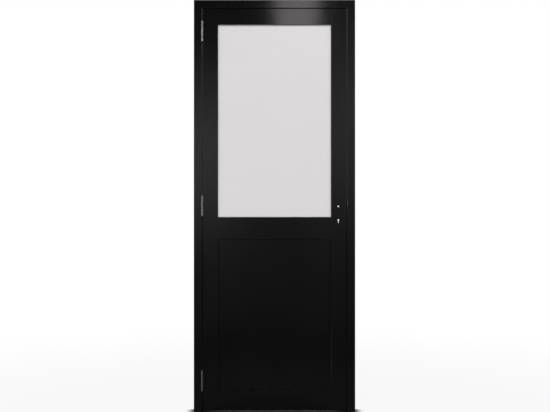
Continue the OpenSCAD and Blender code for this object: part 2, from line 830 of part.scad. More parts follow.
// Bead along the top or bottom: edge_z is its sight edge and up is 1 or -1
module level_bead(edge_z, up) intersection() {
    along_x(-sight_x - seat_d, sight_x + seat_d) polygon([for (p = bead_section) [p.y, edge_z + up * p.x]]);
    along_y(bead_y - overrun, leaf_back_y + overrun) polygon([
        [-sight_x, edge_z], [sight_x, edge_z],
        [sight_x + bead_out, edge_z + up * bead_out], [-sight_x - bead_out, edge_z + up * bead_out]
    ]);
}

module top_bead() color(wood_black) level_bead(glass_z1, 1);
module bottom_bead() color(wood_black) level_bead(glass_z0, -1);
module lock_side_bead() color(wood_black) upright_bead();
module hinge_side_bead() color(wood_black) mirror([1, 0, 0]) upright_bead();

// Lock: set out from the leaf's edge inward, at the spindle's height
module at_lock() translate([leaf_x, leaf_mid_y, spindle_z]) mirror([1, 0, 0]) children();

module key_outline(margin) translate([backset, -key_drop]) {
    circle(d = key_round_d + 2 * margin);
    translate([-key_slot_w / 2 - margin, -key_slot_drop - margin])
        square([key_slot_w + 2 * margin, key_slot_drop + margin]);
}

module faceplate_outline(room) stadium(
    faceplate_w / 2 + room,
    -faceplate_drop - faceplate_h / 2 - room,
    -faceplate_drop + faceplate_h / 2 + room
);

module faceplate_screw_holes() for (z = faceplate_screws_z) translate([0, 0, z]) point_right()
    screw_hole(screw_d, screw_head_d, screw_len, press_fit);

// Room in the lock stile for the lock, its faceplate, the spindle and the key
module lock_cuts() at_lock() {
    span(
        [-overrun, -case_t / 2 - wood_fit, -case_down - wood_fit],
        [case_end + wood_fit, case_t / 2 + wood_fit, case_up + wood_fit]
    );
    along_x(-overrun, faceplate_t) faceplate_outline(wood_fit);
    faceplate_screw_holes();
    translate([backset, 0, 0]) cross_bar(spindle_hole_d / 2, -leaf_t, leaf_t);
    along_y(-leaf_t, leaf_t) key_outline(key_margin);
}

module bolt_window(rise, high, thick) span(
    [-overrun, -thick / 2 - window_play, rise - high / 2 - window_play],
    [faceplate_t + overrun, thick / 2 + window_play, rise + high / 2 + window_play]
);

module lock_faceplate() color(steel_grey) at_lock() difference() {
    along_x(0, faceplate_t) faceplate_outline(0);
    bolt_window(latch_rise, latch_h, latch_t);
    bolt_window(-bolt_drop, bolt_h, bolt_t);
    faceplate_screw_holes();
}

module faceplate_screws() color(zinc_grey) at_lock() for (z = faceplate_screws_z)
    translate([0, 0, z]) point_right() screw(screw_d, screw_head_d, screw_len);

// Holes through the sides of the lock for the follower and the key
module lock_side_holes() {
    translate([backset, 0, 0]) cross_bar(journal_d / 2 + run_fit, -case_t, case_t);
    along_y(-case_t, case_t) key_outline(0);
}

// Countersunk holes of the cover's screws, which point away from the viewer
module at_posts() for (p = posts) translate([p.x, -case_t / 2, p.y]) rotate([-90, 0, 0]) children();

module lock_case() color(zinc_grey) at_lock() difference() {
    union() {
        difference() {
            span([faceplate_t, -inner_t / 2, -case_down], [case_end, case_t / 2, case_up]);
            span(
                [faceplate_t - overrun, -inner_t / 2 - overrun, case_wall - case_down],
                [case_end - case_wall, inner_t / 2, case_up - case_wall]
            );
        }
        for (p = posts) translate([p.x, 0, p.y]) cross_bar(post_d / 2, -inner_t / 2, inner_t / 2 + case_wall);
        translate([stud_in, 0, -bolt_drop])
            cross_bar(stud_d / 2, inner_t / 2 - bolt_tail_t - 2 * side_play, inner_t / 2 + case_wall);
        span(
            [rib_u, -inner_t / 2, latch_rise],
            [rib_u + case_wall, inner_t / 2 + case_wall, case_up]
        );
    }
    span(
        [rib_u - overrun, -inner_t / 2 - overrun, rod_z - rod_room],
        [rib_u + case_wall + overrun, rod_room, rod_z + rod_room]
    );
    lock_side_holes();
    at_posts() screw_hole(cover_screw_d, cover_head_d, cover_screw_len, press_fit);
}

module lock_cover() color(zinc_grey) at_lock() difference() {
    span([faceplate_t, -case_t / 2, -case_down], [case_end, -inner_t / 2, case_up]);
    lock_side_holes();
    at_posts() screw_hole(cover_screw_d, cover_head_d, cover_screw_len, press_fit);
}

module lock_cover_screws() color(zinc_grey) at_lock() at_posts()
    screw(cover_screw_d, cover_head_d, cover_screw_len);

// Follower, turned as a pressed lever turns it, with its arm's nose at the latch's hook
module follower() color(zinc_grey) at_lock() translate([backset, 0, 0]) difference() {
    union() {
        cross_bar(journal_d / 2, -case_t / 2, case_t / 2);
        cross_bar(hub_d / 2, side_play - inner_t / 2, inner_t / 2 - side_play);
        along_y(-arm_t / 2, arm_t / 2) rotate(-turn) {
            translate([-nose_d / 2, 0]) square([nose_d, arm_r]);
            translate([0, arm_r]) circle(d = nose_d);
        }
    }
    along_y(-case_t, case_t) rotate(-turn) square(spindle_sq, center = true);
}

// Latch: its slope faces away from the viewer, so that shutting the leaf pushes it in
module latch_bolt() color(zinc_grey) at_lock() {
    along_z(latch_rise - latch_h / 2, latch_rise + latch_h / 2) polygon([
        [bolt_setback, -latch_t / 2], [bolt_setback, latch_flat - latch_t / 2],
        [bolt_setback + latch_slope, latch_t / 2], [latch_head_len, latch_t / 2],
        [latch_head_len, -latch_t / 2]
    ]);
    translate([latch_head_len - overrun, 0, rod_z]) point_right()
        cylinder(d = rod_d, h = hook_u + hook_t / 2 - latch_head_len + overrun);
    span([hook_u, -hook_w / 2, hook_z], [hook_u + hook_t, hook_w / 2, hook_top]);
}

// Latch spring, pressed together between the latch's head and the lock's rib
module latch_spring() color(steel_grey) at_lock() translate([latch_head_len, 0, rod_z]) point_right() {
    rings = spring_turns * spring_steps;
    wire_r = spring_wire_d / 2;
    rise = rib_u - latch_head_len - spring_wire_d;
    points = [
        for (i = [0:rings], k = [0:spring_sides - 1])
            let (a = 360 * i / spring_steps, b = 360 * k / spring_sides, r = spring_r + wire_r * cos(b))
                [r * cos(a), r * sin(a), wire_r + rise * i / rings + wire_r * sin(b)]
    ];
    sides = [
        for (i = [0:rings - 1], k = [0:spring_sides - 1])
            let (j = (k + 1) % spring_sides, at = i * spring_sides, next = at + spring_sides)
                [at + k, next + k, next + j, at + j]
    ];
    first = [for (k = [0:spring_sides - 1]) k];
    last = [for (k = [spring_sides - 1:-1:0]) rings * spring_sides + k];
    polyhedron(points, concat(sides, [first, last]));
}

// Dead bolt, drawn back, with the slot that the stud guides and the notch that the key moves
module dead_bolt() color(zinc_grey) at_lock() difference() {
    union() {
        span([bolt_setback, -bolt_t / 2, bolt_bottom], [bolt_head_len, bolt_t / 2, bolt_top]);
        span(
            [bolt_head_len - overrun, bolt_t / 2 - bolt_tail_t, bolt_bottom + bolt_step],
            [bolt_tail_end, bolt_t / 2, tail_top]
        );
    }
    along_y(-bolt_t, bolt_t) translate([stud_in, -bolt_drop]) {
        translate([0, -slot_r]) square([bolt_throw, 2 * slot_r]);
        for (u = [0, bolt_throw]) translate([u, 0]) circle(slot_r);
    }
    span(
        [backset - talon_w / 2, -bolt_t, bolt_bottom],
        [backset + talon_w / 2, bolt_t, bolt_bottom + bolt_step + talon_d]
    );
}

// Detent spring: a bent strip from the lock's inner wall to the top of the dead bolt's tail
module bolt_detent_spring() color(steel_grey) at_lock() {
    bends = [
        for (s = detent_share)
            [case_end - case_wall - detent_reach * s.x, tail_top + side_play + detent_rise * s.y]
    ];
    back = [for (i = [len(bends) - 1:-1:0]) bends[i] + [0, detent_t]];
    along_y(bolt_t / 2 - detent_w, bolt_t / 2) polygon(concat(bends, back));
}

hinge_jamb();
lock_jamb();
frame_head();
hinge_stop();
lock_stop();
head_stop();
corner_screws();
hinge_side_seal();
lock_side_seal();
head_seal();
strike_plate();
strike_screws();
bottom_hinge_frame_leaf();
middle_hinge_frame_leaf();
top_hinge_frame_leaf();
bottom_hinge_pin();
middle_hinge_pin();
top_hinge_pin();
bottom_hinge_ring();
middle_hinge_ring();
top_hinge_ring();
hinge_frame_screws();
hinge_stile();
lock_stile();
top_rail();
lock_rail();
bottom_rail();
lower_panel();
glass_pane();
front_glazing_tape();
back_glazing_tape();
setting_blocks();
top_bead();
bottom_bead();
hinge_side_bead();
lock_side_bead();
bottom_hinge_door_leaf();
middle_hinge_door_leaf();
top_hinge_door_leaf();
hinge_door_screws();
lock_case();
lock_cover();
lock_cover_screws();
lock_faceplate();
faceplate_screws();
latch_spring();
bolt_detent_spring();
follower();
latch_bolt();
dead_bolt();
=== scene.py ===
"""A black painted half-glazed door in its frame, dressed in paint, steel, rubber and etched glass.

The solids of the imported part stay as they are. This script gives them their finishes, pins the
glazing beads with brads, and sets up the floor, the lamps and the camera.
"""

import math

import bpy
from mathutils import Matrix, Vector


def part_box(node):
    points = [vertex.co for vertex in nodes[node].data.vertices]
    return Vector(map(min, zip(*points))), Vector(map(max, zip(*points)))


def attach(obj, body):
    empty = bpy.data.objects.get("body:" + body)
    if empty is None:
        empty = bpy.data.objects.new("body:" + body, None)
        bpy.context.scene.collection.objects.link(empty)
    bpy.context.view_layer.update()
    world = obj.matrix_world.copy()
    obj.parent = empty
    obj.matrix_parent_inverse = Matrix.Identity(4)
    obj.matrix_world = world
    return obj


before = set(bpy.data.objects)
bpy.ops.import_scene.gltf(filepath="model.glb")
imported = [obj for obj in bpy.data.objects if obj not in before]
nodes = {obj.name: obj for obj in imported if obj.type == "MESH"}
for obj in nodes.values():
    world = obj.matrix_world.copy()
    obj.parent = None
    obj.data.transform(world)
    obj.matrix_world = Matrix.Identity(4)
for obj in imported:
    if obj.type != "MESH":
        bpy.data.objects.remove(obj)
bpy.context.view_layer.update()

# Finishes, as plain linear colours
BLACK_PAINT = (0.0022, 0.0021, 0.0022, 1.0)
THIN_PAINT = (0.0036, 0.0034, 0.0034, 1.0)
RUBBED_PAINT = (0.014, 0.0128, 0.012, 1.0)
DUST = (0.022, 0.0205, 0.019, 1.0)
HINGE_BRIGHT = (0.135, 0.132, 0.126, 1.0)
HINGE_DULL = (0.095, 0.0925, 0.087, 1.0)
BLACKENED_BRIGHT = (0.052, 0.0495, 0.048, 1.0)
BLACKENED_DULL = (0.028, 0.0268, 0.0262, 1.0)
LACQUER_BRIGHT = (0.050, 0.050, 0.051, 1.0)
LACQUER_DULL = (0.030, 0.030, 0.031, 1.0)
GROUND_BRIGHT = (0.55, 0.54, 0.53, 1.0)
GROUND_DULL = (0.40, 0.39, 0.38, 1.0)
ZINC_BRIGHT = (0.62, 0.64, 0.66, 1.0)
ZINC_DULL = (0.45, 0.46, 0.44, 1.0)
BRASS_BRIGHT = (0.20, 0.165, 0.105, 1.0)
BRASS_DULL = (0.11, 0.088, 0.055, 1.0)
SPRING_BRIGHT = (0.34, 0.34, 0.35, 1.0)
SPRING_DULL = (0.16, 0.165, 0.18, 1.0)
RUBBER_DEEP = (0.012, 0.012, 0.0125, 1.0)
RUBBER_BLOOM = (0.034, 0.033, 0.032, 1.0)
TAPE_DEEP = (0.018, 0.018, 0.018, 1.0)
TAPE_BLOOM = (0.045, 0.044, 0.043, 1.0)
BLOCK_DEEP = (0.03, 0.03, 0.032, 1.0)
BLOCK_BLOOM = (0.075, 0.075, 0.078, 1.0)
GLASS_CLEAR = (0.722, 0.706, 0.715, 1.0)
GLASS_MILKY = (0.712, 0.696, 0.705, 1.0)
WHITE = (1.0, 1.0, 1.0, 1.0)


def put(tree, kind, feeds=None, **choices):
    """Places one shader node, sets its choices, and fills or joins its inputs."""
    made = tree.nodes.new("ShaderNode" + kind)
    for name, value in choices.items():
        setattr(made, name, value)
    for name, value in (feeds or {}).items():
        if isinstance(value, bpy.types.NodeSocket):
            tree.links.new(value, made.inputs[name])
        else:
            made.inputs[name].default_value = value
    return made


def noise(tree, place, scale, detail, rough):
    """Cloudy noise from 0 to 1."""
    feeds = {"Vector": place, "Scale": scale, "Detail": detail, "Roughness": rough}
    return put(tree, "TexNoise", feeds).outputs["Fac"]


def sums(tree, kind, first, second=0.0):
    """One step of arithmetic."""
    return put(tree, "Math", {0: first, 1: second}, operation=kind).outputs[0]


def scaled(tree, value, share):
    """A value times a share of it."""
    return sums(tree, "MULTIPLY", value, share)


def added(tree, first, *others):
    """Values added up."""
    for other in others:
        first = sums(tree, "ADD", first, other)
    return first


def ramp(tree, value, low, high, start=0.0, end=1.0):
    """Turns low to high into start to end, smoothly and without going past them."""
    feeds = {"Value": value, "From Min": low, "From Max": high, "To Min": start, "To Max": end}
    return put(tree, "MapRange", feeds, interpolation_type="SMOOTHSTEP").outputs["Result"]


def blend_colours(tree, share, first, second):
    """Mixes two colours."""
    return put(tree, "Mix", {0: share, 6: first, 7: second}, data_type="RGBA").outputs[2]


def distance(tree, place):
    """How far a place is from the origin."""
    return put(tree, "VectorMath", {0: place}, operation="LENGTH").outputs["Value"]


def group_mask(tree, group, feeds):
    """Places a group that puts out one mask."""
    return put(tree, "Group", feeds, node_tree=group).outputs["Mask"]


def new_group(name, inputs, outputs):
    """Starts a shader node group with named sockets. Gives its tree, its input and its output."""
    tree = bpy.data.node_groups.new(name, "ShaderNodeTree")
    for label, kind in inputs:
        tree.interface.new_socket(label, in_out="INPUT", socket_type="NodeSocket" + kind)
    for label, kind in outputs:
        tree.interface.new_socket(label, in_out="OUTPUT", socket_type="NodeSocket" + kind)
    return tree, tree.nodes.new("NodeGroupInput"), tree.nodes.new("NodeGroupOutput")


def finish_group(tree, way_out, **results):
    """Joins a group's results to its output sockets."""
    for label, socket in results.items():
        tree.links.new(socket, way_out.inputs[label])
    return tree


SKIN_OUT = [("Colour", "Color"), ("Roughness", "Float"), ("Height", "Float")]

# In the groups below, a noise is its scale in marks a metre, its detail and the detail's roughness.
# A band is the part of a noise or slope that becomes a mark, from none of it to all of it.
# Dulling and gloss change the roughness, and rise and sink change the height.

EDGE_SAMPLES = 4
SHARP_BAND = (0.985, 0.80)
RUB_NOISE = (46.0, 4.0, 0.65)
RUB_BAND = (0.46, 0.66)


def make_edge_rub():
    """Shows how sharp an edge is near each point: 0 on flats, 1 on an edge, broken up by noise."""
    tree, way_in, way_out = new_group(
        "edge_rub", [("Place", "Vector"), ("Reach", "Float")], [("Mask", "Float")]
    )
    soft = put(tree, "Bevel", {"Radius": way_in.outputs["Reach"]}, samples=EDGE_SAMPLES)
    true = put(tree, "NewGeometry")
    normals = {0: soft.outputs["Normal"], 1: true.outputs["True Normal"]}
    turn = put(tree, "VectorMath", normals, operation="DOT_PRODUCT").outputs["Value"]
    sharp = ramp(tree, turn, *SHARP_BAND)
    patchy = ramp(tree, noise(tree, way_in.outputs["Place"], *RUB_NOISE), *RUB_BAND)
    return finish_group(tree, way_out, Mask=sums(tree, "MULTIPLY", sharp, patchy))


LEDGE_BAND = (0.55, 0.98)
DUST_NOISE = (32.0, 5.0, 0.7)
DUST_BAND = (0.1, 0.8)


def make_settled_dust():
    """Dust on ledges that face upwards: 0 on walls, up to 1 on ledges, uneven."""
    tree, way_in, way_out = new_group("settled_dust", [("Place", "Vector")], [("Mask", "Float")])
    normal = put(tree, "NewGeometry").outputs["Normal"]
    upward = ramp(tree, put(tree, "SeparateXYZ", {0: normal}).outputs["Z"], *LEDGE_BAND)
    patchy = ramp(tree, noise(tree, way_in.outputs["Place"], *DUST_NOISE), *DUST_BAND)
    return finish_group(tree, way_out, Mask=sums(tree, "MULTIPLY", upward, patchy))


FIBRE_NOISE = (1.0, 5.0, 0.62)
PORE_BAND = (0.54, 0.70)
STROKE_NOISE = (3.4, 2.0, 0.5)
STIPPLE_NOISE = (820.0, 2.0, 0.5)
CLOUD_NOISE = (2.7, 3.0, 0.55)
CLOUD_BAND = (0.3, 0.7)
CLOUD_GLOSS = (0.25, 0.75, -0.02, 0.025)
HAND_NOISE = (21.0, 5.0, 0.72)
HAND_BAND = (0.56, 0.76)
PAINT_RUB_REACH = 0.0016
PAINT_RUB_SHARE = 0.35
PAINT_DUST_SHARE = 0.3
HAND_DULLING = 0.035
STIPPLE_DULLING = 0.02
DUST_DULLING = 0.25
STROKE_RISE = 0.35
PORE_SINK = 0.5
STIPPLE_RISE = 0.5


def make_painted_timber(edge_rub, settled_dust):
    """Rolled satin paint over planed timber: faint grain, roller stipple, gloss clouds, rubbed
    edges and dust."""
    tree, way_in, way_out = new_group(
        "painted_timber",
        [("Place", "Vector"), ("Grain place", "Vector"), ("Grain", "Float"), ("Sheen", "Float")],
        SKIN_OUT,
    )
    place, grain_place = way_in.outputs["Place"], way_in.outputs["Grain place"]
    pores = ramp(tree, noise(tree, grain_place, *FIBRE_NOISE), *PORE_BAND)
    strokes = noise(tree, grain_place, *STROKE_NOISE)
    stipple = noise(tree, place, *STIPPLE_NOISE)
    clouds = noise(tree, place, *CLOUD_NOISE)
    handled = ramp(tree, noise(tree, place, *HAND_NOISE), *HAND_BAND)
    rub = group_mask(tree, edge_rub, {"Place": place, "Reach": PAINT_RUB_REACH})
    dust = group_mask(tree, settled_dust, {"Place": place})
    colour = blend_colours(tree, ramp(tree, clouds, *CLOUD_BAND), BLACK_PAINT, THIN_PAINT)
    colour = blend_colours(tree, scaled(tree, rub, PAINT_RUB_SHARE), colour, RUBBED_PAINT)
    colour = blend_colours(tree, scaled(tree, dust, PAINT_DUST_SHARE), colour, DUST)
    rough = added(
        tree,
        way_in.outputs["Sheen"],
        ramp(tree, clouds, *CLOUD_GLOSS),
        scaled(tree, handled, HAND_DULLING),
        scaled(tree, stipple, STIPPLE_DULLING),
        scaled(tree, dust, DUST_DULLING),
    )
    risen, sunk = scaled(tree, strokes, STROKE_RISE), scaled(tree, pores, PORE_SINK)
    grain = scaled(tree, sums(tree, "SUBTRACT", risen, sunk), way_in.outputs["Grain"])
    height = added(tree, grain, scaled(tree, stipple, STIPPLE_RISE))
    return finish_group(tree, way_out, Colour=colour, Roughness=rough, Height=height)


STREAK_NOISE = (1.0, 4.0, 0.6)
STREAK_GLOSS = (0.3, 0.7, -0.04, 0.05)
BLOT_DETAIL = (4.0, 0.65)
BLOT_BAND = (0.34, 0.72)
BLOT_DULLING = 0.10
BLOT_TONE = 0.6
STREAK_TONE = 0.4
METAL_RUB_REACH = 0.0007
METAL_RUB_TONE = 0.5
TONE_BAND = (0.1, 0.85)


def make_worked_metal(edge_rub):
    """Brushed, rolled or plated metal: fine streaks, dull blots and brighter edges."""
    tree, way_in, way_out = new_group(
        "worked_metal",
        [
            ("Place", "Vector"),
            ("Streak place", "Vector"),
            ("Bright", "Color"),
            ("Dull", "Color"),
            ("Polish", "Float"),
            ("Blot size", "Float"),
        ],
        SKIN_OUT,
    )
    place = way_in.outputs["Place"]
    streaks = noise(tree, way_in.outputs["Streak place"], *STREAK_NOISE)
    blots = noise(tree, place, way_in.outputs["Blot size"], *BLOT_DETAIL)
    blots = ramp(tree, blots, *BLOT_BAND)
    rub = group_mask(tree, edge_rub, {"Place": place, "Reach": METAL_RUB_REACH})
    tone = added(tree, scaled(tree, blots, BLOT_TONE), scaled(tree, streaks, STREAK_TONE))
    tone = sums(tree, "SUBTRACT", tone, scaled(tree, rub, METAL_RUB_TONE))
    dull = ramp(tree, tone, *TONE_BAND)
    colour = blend_colours(tree, dull, way_in.outputs["Bright"], way_in.outputs["Dull"])
    rough = added(
        tree,
        way_in.outputs["Polish"],
        scaled(tree, blots, BLOT_DULLING),
        ramp(tree, streaks, *STREAK_GLOSS),
    )
    return finish_group(tree, way_out, Colour=colour, Roughness=rough, Height=streaks)


BLOOM_NOISE = (24.0, 5.0, 0.7)
BLOOM_BAND = (0.42, 0.74)
BLOOM_SHARE = 0.7
BLOOM_GLOSS = (0.0, 1.0, 0.58, 0.74)
LINE_NOISE = (1.0, 3.0, 0.55)
GRIT_NOISE = (1500.0, 2.0, 0.6)
GRIT_DULLING = 0.08
LINE_RISE = 0.7
GRIT_RISE = 0.3


def make_moulded_rubber(settled_dust):
    """Extruded rubber: a pale bloom in patches, fine die lines and a dry surface."""
    tree, way_in, way_out = new_group(
        "moulded_rubber",
        [("Place", "Vector"), ("Line place", "Vector"), ("Deep", "Color"), ("Bloom", "Color")],
        SKIN_OUT,
    )
    place = way_in.outputs["Place"]
    patches = ramp(tree, noise(tree, place, *BLOOM_NOISE), *BLOOM_BAND)
    lines = noise(tree, way_in.outputs["Line place"], *LINE_NOISE)
    grit = noise(tree, place, *GRIT_NOISE)
    dust = group_mask(tree, settled_dust, {"Place": place})
    bloom = sums(tree, "MAXIMUM", scaled(tree, patches, BLOOM_SHARE), dust)
    colour = blend_colours(tree, bloom, way_in.outputs["Deep"], way_in.outputs["Bloom"])
    rough = added(tree, ramp(tree, patches, *BLOOM_GLOSS), scaled(tree, grit, GRIT_DULLING))
    height = added(tree, scaled(tree, lines, LINE_RISE), scaled(tree, grit, GRIT_RISE))
    return finish_group(tree, way_out, Colour=colour, Roughness=rough, Height=height)


ETCH_NOISE = (5.0, 3.0, 0.5)
ETCH_BAND = (0.3, 0.7)
ETCH_GLOSS = (0.25, 0.75, 0.40, 0.46)
TOOTH_NOISE = (2600.0, 2.0, 0.5)
TOOTH_DULLING = 0.04


def make_acid_etch():
    """Acid-etched skin of the pane: a fine tooth, with faint clouds where the acid bit deeper."""
    tree, way_in, way_out = new_group("acid_etch", [("Place", "Vector")], SKIN_OUT)
    place = way_in.outputs["Place"]
    clouds = noise(tree, place, *ETCH_NOISE)
    tooth = noise(tree, place, *TOOTH_NOISE)
    colour = blend_colours(tree, ramp(tree, clouds, *ETCH_BAND), GLASS_CLEAR, GLASS_MILKY)
    rough = added(tree, ramp(tree, clouds, *ETCH_GLOSS), scaled(tree, tooth, TOOTH_DULLING))
    return finish_group(tree, way_out, Colour=colour, Roughness=rough, Height=tooth)


EDGE_RUB = make_edge_rub()
SETTLED_DUST = make_settled_dust()
PAINTED_TIMBER = make_painted_timber(EDGE_RUB, SETTLED_DUST)
WORKED_METAL = make_worked_metal(EDGE_RUB)
MOULDED_RUBBER = make_moulded_rubber(SETTLED_DUST)
ACID_ETCH = make_acid_etch()

# Relief of each finish: how strong its bump is, and how deep in metres
PAINT_RELIEF = (0.22, 0.0004)
METAL_RELIEF = (0.10, 0.0002)
RUBBER_RELIEF = (0.25, 0.0003)
GLASS_RELIEF = (0.06, 0.0001)
PAINT_SHEEN = 0.125
PAINT_SHINE = 0.27
GLASS_BENDING = 1.5


def new_finish(name, skin, stretch, stretch_label, values, relief, **constants):
    """A material made of one skin group. Its pattern is stretched along the piece by a Mapping
    node."""
    finish = bpy.data.materials.new(name)
    finish.use_nodes = True
    tree = finish.node_tree
    shader = tree.nodes["Principled BSDF"]
    place = put(tree, "TexCoord").outputs["Object"]
    group = put(tree, "Group", {"Place": place}, node_tree=skin)
    if stretch_label:
        mapping = put(tree, "Mapping", {"Vector": place, "Scale": stretch})
        tree.links.new(mapping.outputs["Vector"], group.inputs[stretch_label])
    for label, value in values.items():
        group.inputs[label].default_value = value
    strength, depth = relief
    height = group.outputs["Height"]
    bump = put(tree, "Bump", {"Height": height, "Strength": strength, "Distance": depth})
    tree.links.new(group.outputs["Colour"], shader.inputs["Base Color"])
    tree.links.new(group.outputs["Roughness"], shader.inputs["Roughness"])
    tree.links.new(bump.outputs["Normal"], shader.inputs["Normal"])
    for label, value in constants.items():
        shader.inputs[label.replace("_", " ")].default_value = value
    return finish


def paint(name, stretch, grain):
    """Satin black paint on a member whose grain runs the way that stretch says."""
    values = {"Grain": grain, "Sheen": PAINT_SHEEN}
    return new_finish(
        name,
        PAINTED_TIMBER,
        stretch,
        "Grain place",
        values,
        PAINT_RELIEF,
        Specular_IOR_Level=PAINT_SHINE,
    )


def metal(name, stretch, bright, dull, polish, blot_size, bare=1.0):
    """A bare or plated metal, brushed the way that stretch says. Lacquered metal isn't bare."""
    values = {"Bright": bright, "Dull": dull, "Polish": polish, "Blot size": blot_size}
    return new_finish(
        name, WORKED_METAL, stretch, "Streak place", values, METAL_RELIEF, Metallic=bare
    )


def rubber(name, stretch, deep, bloom):
    """An extruded rubber whose die lines run the way that stretch says."""
    values = {"Deep": deep, "Bloom": bloom}
    return new_finish(name, MOULDED_RUBBER, stretch, "Line place", values, RUBBER_RELIEF)


# Stretches: marks a metre along x, y and z, fewest along the grain, the brushing or the die lines
GRAIN_ALONG_X = (5.0, 210.0, 210.0)
GRAIN_ALONG_Z = (210.0, 210.0, 5.0)
STREAKS_ALONG_Z = (2400.0, 2400.0, 70.0)
STREAKS_ALONG_X = (70.0, 2400.0, 2400.0)
STREAKS_ROUND = (120.0, 120.0, 3000.0)
STREAKS_EVEN = (600.0, 600.0, 600.0)
LINES_ALONG_Z = (900.0, 900.0, 6.0)
LINES_ALONG_X = (6.0, 900.0, 900.0)
TAPE_LINES = (60.0, 900.0, 60.0)
BLOCK_LINES = (40.0, 900.0, 900.0)

upright_paint = paint("satin_black_upright", GRAIN_ALONG_Z, grain=1.0)
level_paint = paint("satin_black_level", GRAIN_ALONG_X, grain=1.0)
panel_paint = paint("satin_black_panel", GRAIN_ALONG_Z, grain=0.25)
hinge_finish = metal(
    "satin_hinge_steel", STREAKS_ROUND, HINGE_BRIGHT, HINGE_DULL, polish=0.34, blot_size=85.0
)
pin_finish = metal(
    "ground_pin_steel", STREAKS_ROUND, GROUND_BRIGHT, GROUND_DULL, polish=0.22, blot_size=120.0
)
plate_finish = metal(
    "blackened_lock_plate",
    STREAKS_ALONG_Z,
    BLACKENED_BRIGHT,
    BLACKENED_DULL,
    polish=0.34,
    blot_size=70.0,
)
case_finish = metal(
    "lacquered_lock_case",
    STREAKS_EVEN,
    LACQUER_BRIGHT,
    LACQUER_DULL,
    polish=0.42,
    blot_size=130.0,
    bare=0.0,
)
bolt_finish = metal(
    "sliding_bolt_steel", STREAKS_ALONG_X, ZINC_BRIGHT, GROUND_DULL, polish=0.26, blot_size=110.0
)
zinc_finish = metal(
    "zinc_plating", STREAKS_EVEN, ZINC_BRIGHT, ZINC_DULL, polish=0.36, blot_size=210.0
)
spring_finish = metal(
    "blued_spring_steel", STREAKS_EVEN, SPRING_BRIGHT, SPRING_DULL, polish=0.32, blot_size=260.0
)
brass_finish = metal(
    "tarnished_brass", STREAKS_ROUND, BRASS_BRIGHT, BRASS_DULL, polish=0.24, blot_size=150.0
)
seal_upright = rubber("seal_rubber_upright", LINES_ALONG_Z, RUBBER_DEEP, RUBBER_BLOOM)
seal_level = rubber("seal_rubber_level", LINES_ALONG_X, RUBBER_DEEP, RUBBER_BLOOM)
tape_finish = rubber("glazing_tape", TAPE_LINES, TAPE_DEEP, TAPE_BLOOM)
block_finish = rubber("setting_block", BLOCK_LINES, BLOCK_DEEP, BLOCK_BLOOM)
glass_finish = new_finish(
    "acid_etched_glass",
    ACID_ETCH,
    None,
    None,
    {},
    GLASS_RELIEF,
    Transmission_Weight=1.0,
    IOR=GLASS_BENDING,
)

# Which finish each solid wears
UPRIGHTS = [
    "hinge_jamb",
    "lock_jamb",
    "hinge_stop",
    "lock_stop",
    "hinge_stile",
    "lock_stile",
    "hinge_side_bead",
    "lock_side_bead",
]
LEVELS = [
    "frame_head",
    "head_stop",
    "top_rail",
    "lock_rail",
    "bottom_rail",
    "top_bead",
    "bottom_bead",
]
HINGES = [f"{level}_hinge" for level in ("bottom", "middle", "top")]
HINGE_LEAVES = [f"{hinge}_{half}_leaf" for hinge in HINGES for half in ("frame", "door")]
SCREWS = ["corner_screws", "hinge_frame_screws", "hinge_door_screws", "lock_cover_screws"]
FINISHES = [
    (upright_paint, UPRIGHTS),
    (level_paint, LEVELS),
    (panel_paint, ["lower_panel"]),
    (hinge_finish, HINGE_LEAVES),
    (pin_finish, [f"{hinge}_pin" for hinge in HINGES]),
    (brass_finish, [f"{hinge}_ring" for hinge in HINGES]),
    (plate_finish, ["strike_plate", "lock_faceplate", "strike_screws", "faceplate_screws"]),
    (case_finish, ["lock_case", "lock_cover", "follower"]),
    (bolt_finish, ["latch_bolt", "dead_bolt"]),
    (zinc_finish, SCREWS),
    (spring_finish, ["latch_spring", "bolt_detent_spring"]),
    (seal_upright, ["hinge_side_seal", "lock_side_seal"]),
    (seal_level, ["head_seal"]),
    (tape_finish, ["front_glazing_tape", "back_glazing_tape"]),
    (block_finish, ["setting_blocks"]),
    (glass_finish, ["glass_pane"]),
]
for finish, names in FINISHES:
    for name in names:
        mesh = nodes[name].data
        mesh.materials.clear()
        mesh.materials.append(finish)


def clear_selection():
    """Leaves nothing selected and nothing active."""
    bpy.ops.object.select_all(action="DESELECT")
    bpy.context.view_layer.objects.active = None


# Brads: driven through the bevel of each glazing bead into the stile or rail behind it
MM = 0.001
BRAD_HEAD_R = 1.2 * MM
BRAD_HEAD_RISE = 0.4 * MM
BRAD_SUNK = 0.8 * MM
BRAD_SIDES = 14
RIM_ROUND = 0.16 * MM
RIM_STEPS = 3
PUNCH_RIM = 0.5 * MM
PUNCH_SLOPE = 0.08 * MM
PUNCH_DEPTH = 0.2 * MM
SMOOTH_UP_TO = math.radians(40.0)
TOP_SLACK = 0.01 * MM
FACES_UP = 0.99
BEVEL_MID = 2.0 * MM
END_GAP = 60.0 * MM
UPRIGHT_BRADS = 6
LEVEL_BRADS = 4


def select_top(piece):
    """Selects the flat top face of a piece in edit mode."""
    bpy.ops.mesh.select_all(action="DESELECT")
    bpy.ops.object.mode_set(mode="OBJECT")
    top = max(face.center.z for face in piece.data.polygons)
    for face in piece.data.polygons:
        face.select = face.center.z > top - TOP_SLACK and face.normal.z > FACES_UP
    bpy.ops.object.mode_set(mode="EDIT")


